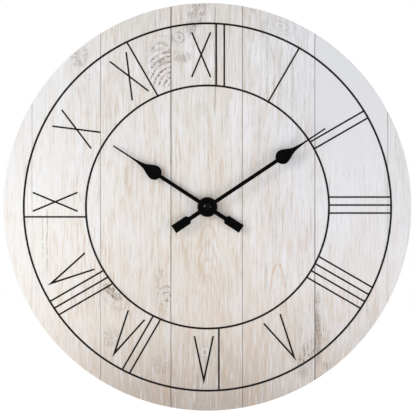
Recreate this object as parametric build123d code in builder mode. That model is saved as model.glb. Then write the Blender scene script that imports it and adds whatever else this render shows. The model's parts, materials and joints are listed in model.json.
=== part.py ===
"""Round wall clock: a printed board with a quartz movement behind it and two spade hands in front.

Row frame: X to the right, Z up, Y into the wall. The origin is on the wall plane, on the axis of the hands.
Heights are measured out from the wall towards the room, so a height h is the plane Y = -h.
Sizes are in millimetres and angles in degrees, clockwise from twelve as the clock is read.
"""

import os
from math import atan2, cos, degrees, hypot, radians, sin, sqrt, tan

from build123d import *

os.makedirs("parts", exist_ok=True)

# ---------------------------------------------------------------- driving dimensions
DISC_R = 250.0  # the board, 500 mm across
BOARD_T = 6.0
PRINT_T = 0.2
INK_T = 0.2
EDGE_BREAK = 0.4

CASE_W = 56.0  # the movement, a standard square module
CASE_BOTTOM = -29.0
CASE_TOP = 27.0
CASE_DEPTH = 16.0
CASE_SPLIT = 11.0  # height of the joint between the two case halves
CASE_WALL = 1.4
CASE_CORNER_R = 3.0
BACK_T = 1.2  # rear wall of the rear case
FRONT_T = 1.2  # front wall of the front case
BAY_TOP = -12.0  # battery bay, below the wheel room
ROOM_BOTTOM = -10.6

GASKET_T = 0.8
BOARD_BACK = CASE_DEPTH + GASKET_T
BOARD_FRONT = BOARD_BACK + BOARD_T
FACE = BOARD_FRONT + PRINT_T  # height of the printed face

RING_LINE = 2.4
STROKE = 2.0
RING_OUTER_R = 225.2
RING_INNER_R = 149.0
NUMERAL_MID_R = 186.7
NUMERAL_TALL = 57.0
GLYPH_HALF_W = 11.55  # half the width of an X or a V
BAR_STEP = 9.8  # from one upright to the next
GLYPH_GAP = 6.9  # from the foot of an X or a V to the next upright
V_TIP_R = 217.8

HUB_R = 12.2
MINUTE_REACH = 173.3
MINUTE_BULB = 110.7
HOUR_REACH = 137.5
HOUR_BULB = 77.5
MINUTE_ANGLE = 56.34
HOUR_ANGLE = 303.02
HAND_T = 0.8
HOUR_HAND_H = 28.0
MINUTE_HAND_H = 31.4

RUN = 0.03  # radial running clearance of every pivot


# ---------------------------------------------------------------- helpers
def room(height, angle=0.0):
    """The sketch plane at a height out from the wall, facing the room, with its local y at a compass angle."""
    turn = radians(angle)
    return Plane(origin=(0, -height, 0), x_dir=(cos(turn), 0, -sin(turn)), z_dir=(0, -1, 0))


def keep(piece, name):
    """Labels a finished piece and writes it as its own node."""
    piece.part.label = name
    export_step(piece.part, f"parts/{name}.step")


def disc(height, thick, radius, at=(0, 0), mode=Mode.ADD):
    """A round slab from height to height + thick."""
    with BuildSketch(room(height)) as outline:
        with Locations(at):
            Circle(radius)
    extrude(outline.sketch, amount=thick, mode=mode)


def ring(height, thick, radius, bore, at=(0, 0)):
    """A round slab with a hole through it."""
    with BuildSketch(room(height)) as outline:
        with Locations(at):
            Circle(radius)
            Circle(bore, mode=Mode.SUBTRACT)
    extrude(outline.sketch, amount=thick)


def slab(height, thick, left, right, bottom, top, corner=0.0, mode=Mode.ADD):
    """A rectangular slab between four edges, with rounded corners if corner is given."""
    with BuildSketch(room(height)) as outline:
        with Locations(((left + right) / 2, (bottom + top) / 2)):
            if corner:
                RectangleRounded(right - left, top - bottom, corner)
            else:
                Rectangle(right - left, top - bottom)
    extrude(outline.sketch, amount=thick, mode=mode)


def polar(radius, angle):
    """A point at a radius and a compass angle, clockwise from twelve."""
    return radius * sin(radians(angle)), radius * cos(radians(angle))


# ---------------------------------------------------------------- going train
# Modules follow from the centre distances, and the tooth counts give 30 rpm at the rotor and 1 turn an hour
# at the centre wheel. Wheels have wide teeth and pinions narrow leaves, both with radial flanks.
TEETH = {
    "rotor": 8,
    "fifth": 40,
    "fifth_pinion": 8,
    "second": 48,
    "second_pinion": 8,
    "third": 60,
    "third_pinion": 8,
    "centre": 64,
    "cannon": 12,
    "motion": 36,
    "motion_pinion": 10,
    "hour": 40,
    "setting": 14,
}
FINE = 0.30  # module of the going train
COARSE = 0.35  # module of the motion work
THIRD_DISTANCE = FINE * (TEETH["third_pinion"] + TEETH["centre"]) / 2
FIFTH_DISTANCE = FINE * (TEETH["fifth_pinion"] + TEETH["second"]) / 2
ROTOR_DISTANCE = FINE * (TEETH["rotor"] + TEETH["fifth"]) / 2
MOTION_DISTANCE = COARSE * (TEETH["cannon"] + TEETH["motion"]) / 2
SETTING_DISTANCE = COARSE * (TEETH["setting"] + TEETH["motion"]) / 2
THIRD_MODULE = 2 * THIRD_DISTANCE / (TEETH["second_pinion"] + TEETH["third"])
HOUR_MODULE = 2 * MOTION_DISTANCE / (TEETH["motion_pinion"] + TEETH["hour"])


def beside(point, distance, angle):
    """The point at a distance and compass angle from another."""
    dx, dz = polar(distance, angle)
    return point[0] + dx, point[1] + dz


CENTRE = (0.0, 0.0)
THIRD = beside(CENTRE, THIRD_DISTANCE, 275)
FIFTH = beside(CENTRE, FIFTH_DISTANCE, 30)
ROTOR = beside(FIFTH, ROTOR_DISTANCE, 60)
MOTION = beside(CENTRE, MOTION_DISTANCE, 110)
SETTING = beside(MOTION, SETTING_DISTANCE, 90)


def heading(start, end):
    """The direction from one arbor to another, in degrees from +X towards +Z."""
    return degrees(atan2(end[1] - start[1], end[0] - start[0]))


def meshed(teeth_a, phase_a, at_a, teeth_b, at_b):
    """The angle of a tooth of wheel b that puts it in mesh with wheel a."""
    line = heading(at_a, at_b)
    share_a = (line - phase_a) * teeth_a / 360
    share_b = 0.5 - share_a
    return line + 180 - share_b * 360 / teeth_b


def toothed(height, thick, at, teeth, module, phase, pinion=False, bore=0.0):
    """A toothed slab. A pinion has narrow leaves and deep roots, a wheel wide teeth and tall tips."""
    half, tip_half, tall, deep = (0.56, 0.25, 0.62, 1.35) if pinion else (0.68, 0.30, 1.0, 1.05)
    pitch_r = teeth * module / 2
    outline = []
    for tooth in range(teeth):
        middle = radians(phase + tooth * 360 / teeth)
        corners = [
            (pitch_r - deep * module, -half / teeth * 2),
            (pitch_r, -half / teeth * 2),
            (pitch_r + tall * module, -tip_half / teeth * 2),
            (pitch_r + tall * module, tip_half / teeth * 2),
            (pitch_r, half / teeth * 2),
            (pitch_r - deep * module, half / teeth * 2),
        ]
        outline += [(r * cos(middle + turn), r * sin(middle + turn)) for r, turn in corners]
    with BuildSketch(room(height)) as blank:
        with BuildLine():
            Polyline(*[(at[0] + x, at[1] + z) for x, z in outline], close=True)
        make_face()
        if bore:
            with Locations(at):
                Circle(bore, mode=Mode.SUBTRACT)
    extrude(blank.sketch, amount=thick)


# heights of the wheels, from the rear of the case to the front
PIVOT_END = 0.8
FIFTH_H = 2.0
SECOND_H = 3.6
THIRD_H = 5.3
STATOR_H = 5.1
PLATE_H = 6.8
PLATE_T = 1.0
CENTRE_H = 8.6
MOTION_H = 10.6
HOUR_H = 12.3
WHEEL_T = 0.8
FLANGE_H = 14.3

ARBOR_R = 1.5  # minute arbor
SECOND_ARBOR_R = 0.5
PIPE_R = 2.5  # hour pipe
PIVOT_R = 0.4
MOTION_POST_R = 0.7
SETTING_SHAFT_R = 1.0
BUSHING_R = 3.95
BUSHING_TOP = 27.0
PIPE_TOP = 30.2
ARBOR_SHOULDER = MINUTE_HAND_H
ARBOR_TOP = 34.6

# phases: each wheel is set in mesh with the one before it
PHASE = {"centre": 0.0, "second": 0.0, "cannon": 0.0, "second_pinion": 0.0}
PHASE["third_pinion"] = meshed(64, PHASE["centre"], CENTRE, 8, THIRD)
PHASE["third"] = meshed(8, PHASE["second_pinion"], CENTRE, 60, THIRD)
PHASE["fifth_pinion"] = meshed(48, PHASE["second"], CENTRE, 8, FIFTH)
PHASE["fifth"] = 0.0
PHASE["rotor"] = meshed(40, PHASE["fifth"], FIFTH, 8, ROTOR)
PHASE["motion"] = meshed(12, PHASE["cannon"], CENTRE, 36, MOTION)
PHASE["motion_pinion"] = 0.0
PHASE["hour"] = meshed(10, PHASE["motion_pinion"], MOTION, 40, CENTRE)
PHASE["setting"] = meshed(36, PHASE["motion"], MOTION, 14, SETTING)

# ---------------------------------------------------------------- dial
BOARD_HOLE_R = 5.0

with BuildPart() as dial_board:
    ring(BOARD_BACK, BOARD_T, DISC_R, BOARD_HOLE_R)
    rims = dial_board.edges().filter_by(GeomType.CIRCLE).group_by(SortBy.RADIUS)[-1]
    chamfer(rims, EDGE_BREAK)
keep(dial_board, "dial_board")

with BuildPart() as dial_print:
    ring(BOARD_FRONT, PRINT_T, DISC_R - EDGE_BREAK, BOARD_HOLE_R)
keep(dial_print, "dial_print")

for ring_name, ring_r in (("chapter_ring_outer", RING_OUTER_R), ("chapter_ring_inner", RING_INNER_R)):
    with BuildPart() as chapter_ring:
        ring(FACE, INK_T, ring_r + RING_LINE / 2, ring_r - RING_LINE / 2)
    keep(chapter_ring, ring_name)

# Glyphs in clockwise order round the dial: an I is an upright, and a V points outwards.
NUMERALS = {
    1: "I",
    2: "II",
    3: "III",
    4: "IIII",
    5: "V",
    6: "IV",
    7: "IIV",
    8: "IIIV",
    9: "IX",
    10: "X",
    11: "XI",
    12: "XII",
}
# The print sets some numerals a little off their hour lines, in millimetres clockwise.
NUMERAL_SHIFT = {2: -1.2, 3: -2.4, 4: -1.0, 6: 1.0, 7: 0.8, 8: 1.5, 9: 2.9, 10: 2.3, 11: 0.5, 12: 0.7}


def glyph_places(glyphs):
    """The middle of each glyph along the dial, with the whole numeral centred on zero."""
    places, edge, last = [], 0.0, ""
    for glyph in glyphs:
        half = 0.0 if glyph == "I" else GLYPH_HALF_W
        if last:
            edge += BAR_STEP if glyph == last == "I" else GLYPH_GAP
        places.append(edge + half)
        edge += 2 * half
        last = glyph
    return [place - edge / 2 for place in places]


def chevron():
    """A V that points outwards, with a mitred tip, round its own middle."""
    low = -NUMERAL_TALL / 2
    tip = V_TIP_R - NUMERAL_MID_R
    lean = atan2(GLYPH_HALF_W, tip - low)
    across = STROKE / 2 / cos(lean)
    mitre = across / tan(lean)
    with BuildSketch() as outline:
        with BuildLine():
            Polyline(
                (-GLYPH_HALF_W - across, low),
                (0, tip),
                (GLYPH_HALF_W + across, low),
                (GLYPH_HALF_W - across, low),
                (0, tip - 2 * mitre),
                (-GLYPH_HALF_W + across, low),
                close=True,
            )
        make_face()
    return outline.sketch


CROSS_TALL = NUMERAL_TALL - STROKE
CROSS_LENGTH = hypot(2 * GLYPH_HALF_W, CROSS_TALL)
CROSS_LEAN = degrees(atan2(2 * GLYPH_HALF_W, CROSS_TALL))

for hour, glyphs in NUMERALS.items():
    shift = NUMERAL_SHIFT.get(hour, 0.0)
    with BuildPart() as numeral:
        with BuildSketch(room(FACE, 30 * hour)):
            for glyph, place in zip(glyphs, glyph_places(glyphs)):
                with Locations((place + shift, NUMERAL_MID_R)):
                    if glyph == "I":
                        Rectangle(STROKE, RING_OUTER_R - RING_INNER_R)
                    if glyph == "X":
                        Rectangle(STROKE, CROSS_LENGTH, rotation=CROSS_LEAN)
                        Rectangle(STROKE, CROSS_LENGTH, rotation=-CROSS_LEAN)
                    if glyph == "V":
                        add(chevron())
            Circle(RING_OUTER_R - RING_LINE / 2, mode=Mode.INTERSECT)
            Circle(RING_INNER_R + RING_LINE / 2, mode=Mode.SUBTRACT)
        extrude(amount=INK_T)
    keep(numeral, f"numeral_{hour:02d}")

# ---------------------------------------------------------------- movement case
INSIDE = CASE_W / 2 - CASE_WALL
EYE_R = 4.0
EYE_Z = 33.0
EYE_SLOT_R = 2.1
EYE_SLOT_TOP = 37.2
EYE_T = 3.0
EYE_TAB_R = 8.0
CLIP_NECK = 5.0  # half width where the clip passes through the top wall
CLIP_HOOK = 6.5  # half width of the hooks inside
CLIP_FOOT = 25.0
KNOB_R = 5.0
KNOB_WELL_R = 5.6
KNOB_WELL_FLOOR = 3.4
PLATE_POSTS = [(-22.5, 12.0), (23.6, 6.0), (-22.5, -8.4), (23.6, -8.4)]
POST_R = 1.5
SCREW_R = 0.6

with BuildPart() as rear_case:
    slab(0, CASE_SPLIT, -CASE_W / 2, CASE_W / 2, CASE_BOTTOM, CASE_TOP, CASE_CORNER_R)
    rear_rim = rear_case.faces().sort_by(Axis.Y)[-1].edges()
    chamfer(rear_rim, 0.5)
    # the wheel room and, below it, the battery bay that opens to the wall
    slab(
        BACK_T,
        CASE_SPLIT - BACK_T,
        -INSIDE,
        INSIDE,
        ROOM_BOTTOM,
        CASE_TOP - CASE_WALL,
        mode=Mode.SUBTRACT,
    )
    slab(0, CASE_SPLIT, -INSIDE, INSIDE, CASE_BOTTOM + CASE_WALL, BAY_TOP, mode=Mode.SUBTRACT)
    slab(CASE_SPLIT, 3.6, -INSIDE, INSIDE, BAY_TOP, ROOM_BOTTOM)
    # the well that the setting knob sits in, with its bearing
    disc(BACK_T, KNOB_WELL_FLOOR, KNOB_WELL_R + 1.0, SETTING)
    disc(0, KNOB_WELL_FLOOR, KNOB_WELL_R, SETTING, Mode.SUBTRACT)
    disc(0, CASE_SPLIT, SETTING_SHAFT_R + RUN, SETTING, Mode.SUBTRACT)
    # posts for the train plate, and blind pivot holes in low bosses
    for post in PLATE_POSTS:
        ring(BACK_T, PLATE_H - BACK_T, POST_R, SCREW_R, post)
    # arbor, boss radius, height of its top, pivot radius
    for arbor, boss_r, boss_top, bore in (
        (CENTRE, 1.6, 3.2, SECOND_ARBOR_R),
        (THIRD, 1.6, 4.6, PIVOT_R),
        (FIFTH, 1.2, 1.8, PIVOT_R),
        (ROTOR, 1.2, 1.7, PIVOT_R),
    ):
        disc(BACK_T, boss_top - BACK_T, boss_r, arbor)
        disc(PIVOT_END - 0.2, boss_top, bore + RUN, arbor, Mode.SUBTRACT)
    # the slot in the top wall that the hanger clips into
    slab(0, EYE_T, -CLIP_NECK, CLIP_NECK, CLIP_FOOT, CASE_TOP, mode=Mode.SUBTRACT)
    slab(0, EYE_T, -CLIP_HOOK, CLIP_HOOK, CLIP_FOOT, CASE_TOP - CASE_WALL, mode=Mode.SUBTRACT)
    # slots that let the battery contacts into the wheel room
    for side in (-1, 1):
        low, high = sorted((side * (INSIDE - 0.9), side * INSIDE))
        slab(4.0, 12.0, low, high, BAY_TOP, ROOM_BOTTOM, mode=Mode.SUBTRACT)
keep(rear_case, "rear_case")

with BuildPart() as hanger_clip:
    disc(0, EYE_T, EYE_TAB_R, (0, EYE_Z))
    slab(0, EYE_T, -EYE_TAB_R, EYE_TAB_R, EYE_Z - EYE_TAB_R, CASE_TOP, mode=Mode.SUBTRACT)
    slab(0, EYE_T, -EYE_TAB_R, EYE_TAB_R, CASE_TOP, EYE_Z)
    slab(0, EYE_T, -CLIP_NECK, CLIP_NECK, CLIP_FOOT, CASE_TOP)
    slab(0, EYE_T, -CLIP_HOOK, CLIP_HOOK, CLIP_FOOT, CASE_TOP - CASE_WALL)
    disc(0, EYE_T, EYE_R, (0, EYE_Z), Mode.SUBTRACT)
    slab(0, EYE_T, -EYE_SLOT_R, EYE_SLOT_R, EYE_Z, EYE_SLOT_TOP, mode=Mode.SUBTRACT)
    disc(0, EYE_T, EYE_SLOT_R, (0, EYE_SLOT_TOP), Mode.SUBTRACT)
keep(hanger_clip, "hanger_clip")

with BuildPart() as front_case:
    slab(
        CASE_SPLIT,
        CASE_DEPTH - CASE_SPLIT,
        -CASE_W / 2,
        CASE_W / 2,
        CASE_BOTTOM,
        CASE_TOP,
        CASE_CORNER_R,
    )
    front_rim = front_case.faces().sort_by(Axis.Y)[0].edges()
    chamfer(front_rim, 0.5)
    slab(
        CASE_SPLIT,
        CASE_DEPTH - FRONT_T - CASE_SPLIT,
        -INSIDE,
        INSIDE,
        CASE_BOTTOM + CASE_WALL,
        CASE_TOP - CASE_WALL,
        mode=Mode.SUBTRACT,
    )
    disc(CASE_SPLIT, CASE_DEPTH, BUSHING_R, CENTRE, Mode.SUBTRACT)
    # bearings for the third wheel and the setting shaft, and the post that the motion wheel runs on
    ceiling = CASE_DEPTH - FRONT_T
    # arbor, boss radius, height of its foot, bearing radius
    for arbor, boss_r, boss_start, bore in (
        (THIRD, 1.6, 10.6, PIVOT_R),
        (SETTING, 2.0, 12.6, SETTING_SHAFT_R),
    ):
        ring(boss_start, ceiling - boss_start, boss_r, bore + RUN, arbor)
    disc(10.2, ceiling - 10.2, MOTION_POST_R, MOTION)
    disc(13.7, ceiling - 13.7, 1.7, MOTION)
keep(front_case, "front_case")

THREAD_PITCH = 0.75
THREAD_DEPTH = 0.35
THREAD_START = 17.0

with BuildPart() as threaded_bushing:
    with BuildSketch(Plane.YZ):
        with BuildLine():
            points = [
                (-FLANGE_H, PIPE_R + 0.05),
                (-FLANGE_H, 5.5),
                (-(CASE_DEPTH - FRONT_T), 5.5),
                (-(CASE_DEPTH - FRONT_T), BUSHING_R),
                (-THREAD_START, BUSHING_R),
            ]
            turns = int((BUSHING_TOP - 0.4 - THREAD_START) / THREAD_PITCH)
            for turn in range(turns):
                root = THREAD_START + (turn + 0.5) * THREAD_PITCH
                points.append((-root, BUSHING_R - THREAD_DEPTH))
                points.append((-(root + THREAD_PITCH / 2), BUSHING_R))
            points.append((-BUSHING_TOP, BUSHING_R - THREAD_DEPTH))
            points.append((-BUSHING_TOP, PIPE_R + 0.05))
            Polyline(*points, close=True)
        make_face()
    revolve(axis=Axis.Y)
keep(threaded_bushing, "threaded_bushing")

with BuildPart() as dial_gasket:
    ring(CASE_DEPTH, GASKET_T, 11.0, BUSHING_R + 0.15)
keep(dial_gasket, "dial_gasket")

WASHER_T = 0.5
NUT_T = 2.2
NUT_FLATS = 11.0

with BuildPart() as fixing_washer:
    ring(FACE, WASHER_T, 7.5, BUSHING_R + 0.15)
keep(fixing_washer, "fixing_washer")

with BuildPart() as fixing_nut:
    with BuildSketch(room(FACE + WASHER_T)):
        RegularPolygon(NUT_FLATS / 2, 6, major_radius=False)
        Circle(BUSHING_R + 0.05, mode=Mode.SUBTRACT)
    extrude(amount=NUT_T)
    corners = fixing_nut.edges().filter_by(Axis.Y)
    outer_corners = [e for e in corners if hypot(e.center().X, e.center().Z) > BUSHING_R + 1]
    chamfer(outer_corners, 0.25)
keep(fixing_nut, "fixing_nut")

# ---------------------------------------------------------------- train plate
with BuildPart() as train_plate:
    slab(PLATE_H, PLATE_T, -25.0, 25.4, -10.2, 15.0, 2.0)
    # arbor, radius of the hole it passes through
    for arbor, hole in (
        (CENTRE, ARBOR_R + RUN),
        (THIRD, 1.9),
        (FIFTH, PIVOT_R + RUN),
        (ROTOR, PIVOT_R + RUN),
        (SETTING, 1.6),
    ):
        disc(PLATE_H, PLATE_T, hole, arbor, Mode.SUBTRACT)
    ring(5.2, PLATE_H - 5.2, 1.3, PIVOT_R + RUN, FIFTH)
    for post in PLATE_POSTS:
        disc(PLATE_H, PLATE_T, SCREW_R + 0.15, post, Mode.SUBTRACT)
keep(train_plate, "train_plate")

with BuildPart() as train_plate_screws:
    for post in PLATE_POSTS:
        disc(PLATE_H - 3.2, 3.2 + PLATE_T, SCREW_R - 0.02, post)
        disc(PLATE_H + PLATE_T, 0.8, 1.4, post)
        slab(
            PLATE_H + PLATE_T + 0.4,
            0.4,
            post[0] - 0.9,
            post[0] + 0.9,
            post[1] - 0.15,
            post[1] + 0.15,
            mode=Mode.SUBTRACT,
        )
keep(train_plate_screws, "train_plate_screws")

# ---------------------------------------------------------------- motor and electronics
COIL_Z = 20.8
COIL_H = 6.7
COIL_LEFT = -0.2
COIL_RIGHT = 21.0
COIL_R = 3.8
COIL_TUBE_R = 2.2
FLANGE_R = 4.3
FLANGE_T = 0.8
CORE_HALF_W = 1.1
CORE_T = 1.6
STATOR_T = 0.8
STATOR_BORE_R = 3.5
LEG_LEFT = (-3.6, -1.3)
LEG_RIGHT = (22.1, 24.4)

with BuildPart() as stator_plate:
    slab(STATOR_H, STATOR_T, LEG_LEFT[0], LEG_RIGHT[1], 9.3, 12.4)
    for leg in (LEG_LEFT, LEG_RIGHT):
        slab(STATOR_H, STATOR_T, leg[0], leg[1], 9.3, COIL_Z + CORE_HALF_W)
    disc(STATOR_H, STATOR_T, STATOR_BORE_R + 1.4, ROTOR)
    disc(STATOR_H, STATOR_T, STATOR_BORE_R, ROTOR, Mode.SUBTRACT)
keep(stator_plate, "stator_plate")

CORE_H = STATOR_H + STATOR_T

with BuildPart() as coil_core:
    slab(CORE_H, CORE_T, LEG_LEFT[0], LEG_RIGHT[1], COIL_Z - CORE_HALF_W, COIL_Z + CORE_HALF_W)
keep(coil_core, "coil_core")

with BuildPart() as coil_bobbin:
    # the tube, then the two flanges
    for start, length, radius in (
        (COIL_LEFT, COIL_RIGHT - COIL_LEFT, COIL_TUBE_R),
        (COIL_LEFT - FLANGE_T, FLANGE_T, FLANGE_R),
        (COIL_RIGHT, FLANGE_T, FLANGE_R),
    ):
        with BuildSketch(Plane.YZ.offset(start)):
            with Locations((-COIL_H, COIL_Z)):
                Circle(radius)
        extrude(amount=length)
    slab(
        CORE_H,
        CORE_T,
        LEG_LEFT[0],
        LEG_RIGHT[1],
        COIL_Z - CORE_HALF_W,
        COIL_Z + CORE_HALF_W,
        mode=Mode.SUBTRACT,
    )
keep(coil_bobbin, "coil_bobbin")

with BuildPart() as coil_winding:
    with BuildSketch(Plane.YZ.offset(COIL_LEFT)):
        with Locations((-COIL_H, COIL_Z)):
            Circle(COIL_R)
            Circle(COIL_TUBE_R, mode=Mode.SUBTRACT)
    extrude(amount=COIL_RIGHT - COIL_LEFT)
keep(coil_winding, "coil_winding")

BOARD_H = 5.0

with BuildPart() as circuit_board:
    slab(BOARD_H, 1.0, -25.7, -5.0, 15.4, 25.2, 0.5)
keep(circuit_board, "circuit_board")

with BuildPart() as timing_chip:
    disc(BOARD_H + 1.0, 1.2, 3.0, (-11.0, 20.3))
    fillet(timing_chip.faces().sort_by(Axis.Y)[0].edges(), 1.0)
keep(timing_chip, "timing_chip")

with BuildPart() as quartz_crystal:
    with BuildSketch(Plane.YZ.offset(-24.0)):
        with Locations((-(BOARD_H + 2.1), 22.6)):
            Circle(1.05)
    extrude(amount=6.0)
    fillet(quartz_crystal.faces().sort_by(Axis.X)[-1].edges(), 0.3)
keep(quartz_crystal, "quartz_crystal")

with BuildPart() as rotor_pinion:
    toothed(1.9, 1.2, ROTOR, TEETH["rotor"], FINE, PHASE["rotor"], pinion=True)
    disc(PIVOT_END, PLATE_H + 0.7 - PIVOT_END, PIVOT_R, ROTOR)
    disc(3.1, 3.4, 0.75, ROTOR)
keep(rotor_pinion, "rotor_pinion")

with BuildPart() as rotor_magnet:
    ring(4.4, 2.0, 3.0, 0.75, ROTOR)
keep(rotor_magnet, "rotor_magnet")

# ---------------------------------------------------------------- wheels
with BuildPart() as fifth_wheel:
    toothed(FIFTH_H, WHEEL_T, FIFTH, TEETH["fifth"], FINE, PHASE["fifth"])
    toothed(FIFTH_H + WHEEL_T, 2.0, FIFTH, TEETH["fifth_pinion"], FINE, PHASE["fifth_pinion"], pinion=True)
    disc(PIVOT_END, PLATE_H + 0.7 - PIVOT_END, PIVOT_R, FIFTH)
keep(fifth_wheel, "fifth_wheel")

with BuildPart() as second_wheel:
    toothed(SECOND_H, WHEEL_T, CENTRE, TEETH["second"], FINE, PHASE["second"], bore=SECOND_ARBOR_R)
    toothed(
        SECOND_H + WHEEL_T,
        2.0,
        CENTRE,
        TEETH["second_pinion"],
        THIRD_MODULE,
        PHASE["second_pinion"],
        pinion=True,
        bore=SECOND_ARBOR_R,
    )
keep(second_wheel, "second_wheel")

with BuildPart() as second_arbor:
    disc(PIVOT_END, ARBOR_TOP - 0.6 - PIVOT_END, SECOND_ARBOR_R, CENTRE)
keep(second_arbor, "second_arbor")

with BuildPart() as third_wheel:
    toothed(THIRD_H, WHEEL_T, THIRD, TEETH["third"], THIRD_MODULE, PHASE["third"])
    disc(THIRD_H + WHEEL_T, 1.9, 1.0, THIRD)
    toothed(8.0, 2.0, THIRD, TEETH["third_pinion"], FINE, PHASE["third_pinion"], pinion=True)
    disc(PIVOT_END, 12.4 - PIVOT_END, PIVOT_R, THIRD)
keep(third_wheel, "third_wheel")

with BuildPart() as centre_wheel:
    toothed(CENTRE_H, WHEEL_T, CENTRE, TEETH["centre"], FINE, PHASE["centre"], bore=ARBOR_R)
    ring(PLATE_H + PLATE_T + 0.1, CENTRE_H - PLATE_H - PLATE_T - 0.1, 3.0, ARBOR_R)
keep(centre_wheel, "centre_wheel")

FLAT_HALF = 1.05  # across the two flats at the tip of the minute arbor, halved

with BuildPart() as minute_arbor:
    disc(PLATE_H + 0.1, ARBOR_SHOULDER - PLATE_H - 0.1, ARBOR_R, CENTRE)
    toothed(10.2, 1.6, CENTRE, TEETH["cannon"], COARSE, PHASE["cannon"], pinion=True)
    with BuildSketch(room(ARBOR_SHOULDER, MINUTE_ANGLE)):
        Circle(ARBOR_R)
        Rectangle(2 * FLAT_HALF, 4 * ARBOR_R, mode=Mode.INTERSECT)
    extrude(amount=ARBOR_TOP - ARBOR_SHOULDER)
    disc(PLATE_H, ARBOR_TOP, SECOND_ARBOR_R + RUN, CENTRE, Mode.SUBTRACT)
keep(minute_arbor, "minute_arbor")

with BuildPart() as motion_wheel:
    toothed(
        MOTION_H,
        WHEEL_T,
        MOTION,
        TEETH["motion"],
        COARSE,
        PHASE["motion"],
        bore=MOTION_POST_R + RUN,
    )
    toothed(
        MOTION_H + WHEEL_T,
        2.1,
        MOTION,
        TEETH["motion_pinion"],
        HOUR_MODULE,
        PHASE["motion_pinion"],
        pinion=True,
        bore=MOTION_POST_R + RUN,
    )
keep(motion_wheel, "motion_wheel")

with BuildPart() as hour_wheel:
    toothed(HOUR_H, 1.0, CENTRE, TEETH["hour"], HOUR_MODULE, PHASE["hour"], bore=ARBOR_R + RUN)
    ring(HOUR_H + 1.0, 0.9, 3.6, ARBOR_R + RUN)
    ring(HOUR_H + 1.0, PIPE_TOP - HOUR_H - 1.0, PIPE_R, ARBOR_R + RUN)
keep(hour_wheel, "hour_wheel")

with BuildPart() as setting_knob:
    with BuildSketch(room(0.4)):
        with Locations(SETTING):
            Circle(KNOB_R)
            with PolarLocations(KNOB_R + 0.12, 30):
                Circle(0.32, mode=Mode.SUBTRACT)
    extrude(amount=2.8)
    disc(0.4, 0.6, 3.4, SETTING, Mode.SUBTRACT)
    slab(0.4, 0.6, SETTING[0] - 3.6, SETTING[0] + 3.6, SETTING[1] - 0.6, SETTING[1] + 0.6)
    disc(3.2, 10.8, SETTING_SHAFT_R, SETTING)
keep(setting_knob, "setting_knob")

with BuildPart() as setting_pinion:
    toothed(
        10.3,
        1.4,
        SETTING,
        TEETH["setting"],
        COARSE,
        PHASE["setting"],
        pinion=True,
        bore=SETTING_SHAFT_R,
    )
keep(setting_pinion, "setting_pinion")

# ---------------------------------------------------------------- battery and its contacts
CELL_R = 7.1
CELL_Z = -19.8
CELL_H = 7.6
CELL_HALF = 24.2  # the can, without its positive cap
CAP_R = 2.7
CAP_T = 1.4
SLEEVE_T = 0.12


def along_bay(start, length, radius, mode=Mode.ADD):
    """A cylinder along the battery bay, starting at an X position."""
    with BuildSketch(Plane.YZ.offset(start)) as outline:
        with Locations((-CELL_H, CELL_Z)):
            Circle(radius)
    extrude(outline.sketch, amount=length, mode=mode)


with BuildPart() as battery_can:
    along_bay(-CELL_HALF, 2 * CELL_HALF, CELL_R - SLEEVE_T)
    ends = battery_can.edges().filter_by(GeomType.CIRCLE)
    fillet(ends, 0.8)
keep(battery_can, "battery_can")

with BuildPart() as battery_sleeve:
    along_bay(-CELL_HALF + 0.9, 2 * CELL_HALF - 1.8, CELL_R)
    along_bay(-CELL_HALF, 2 * CELL_HALF, CELL_R - SLEEVE_T, Mode.SUBTRACT)
keep(battery_sleeve, "battery_sleeve")

with BuildPart() as battery_cap:
    along_bay(CELL_HALF, CAP_T, CAP_R)
    fillet(battery_cap.faces().sort_by(Axis.X)[-1].edges(), 0.4)
keep(battery_cap, "battery_cap")

STRIP_T = 0.3
STRIP_LOW = 4.4
STRIP_TALL = 5.0


def strip(points):
    """A springy sheet-metal strip that follows a path in the plane of the board."""
    with BuildSketch(room(STRIP_LOW)) as outline:
        with BuildLine():
            Polyline(*points)
        trace(line_width=STRIP_T)
    extrude(outline.sketch, amount=STRIP_TALL)


with BuildPart() as positive_contact:
    strip([(25.85, -24.0), (25.85, -15.0), (26.3, -12.8), (26.3, 25.35), (-7.0, 25.35)])
keep(positive_contact, "positive_contact")

with BuildPart() as negative_contact:
    strip([(-24.5, -21.0), (-26.3, -24.5), (-26.3, 14.2), (-25.85, 17.5)])
keep(negative_contact, "negative_contact")


# ---------------------------------------------------------------- hands
ARM_HALF = 2.38
TAIL_HALF = 2.65
PADDLE_HALF = 5.55
PADDLE_END = -49.5
PADDLE_START = -28.4
SHOULDER_END = -25.8
BULB_R = 9.0
TIP_HALF = 0.92
BULB_TURN = 22.0  # where the round of the spade gives way to its flank
# half widths of the spade's flank at distances beyond the middle of its round
FLANK = [(5.9, 8.8), (3.2, 14.9), (1.65, 24.0), (0.98, 37.0)]


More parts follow.
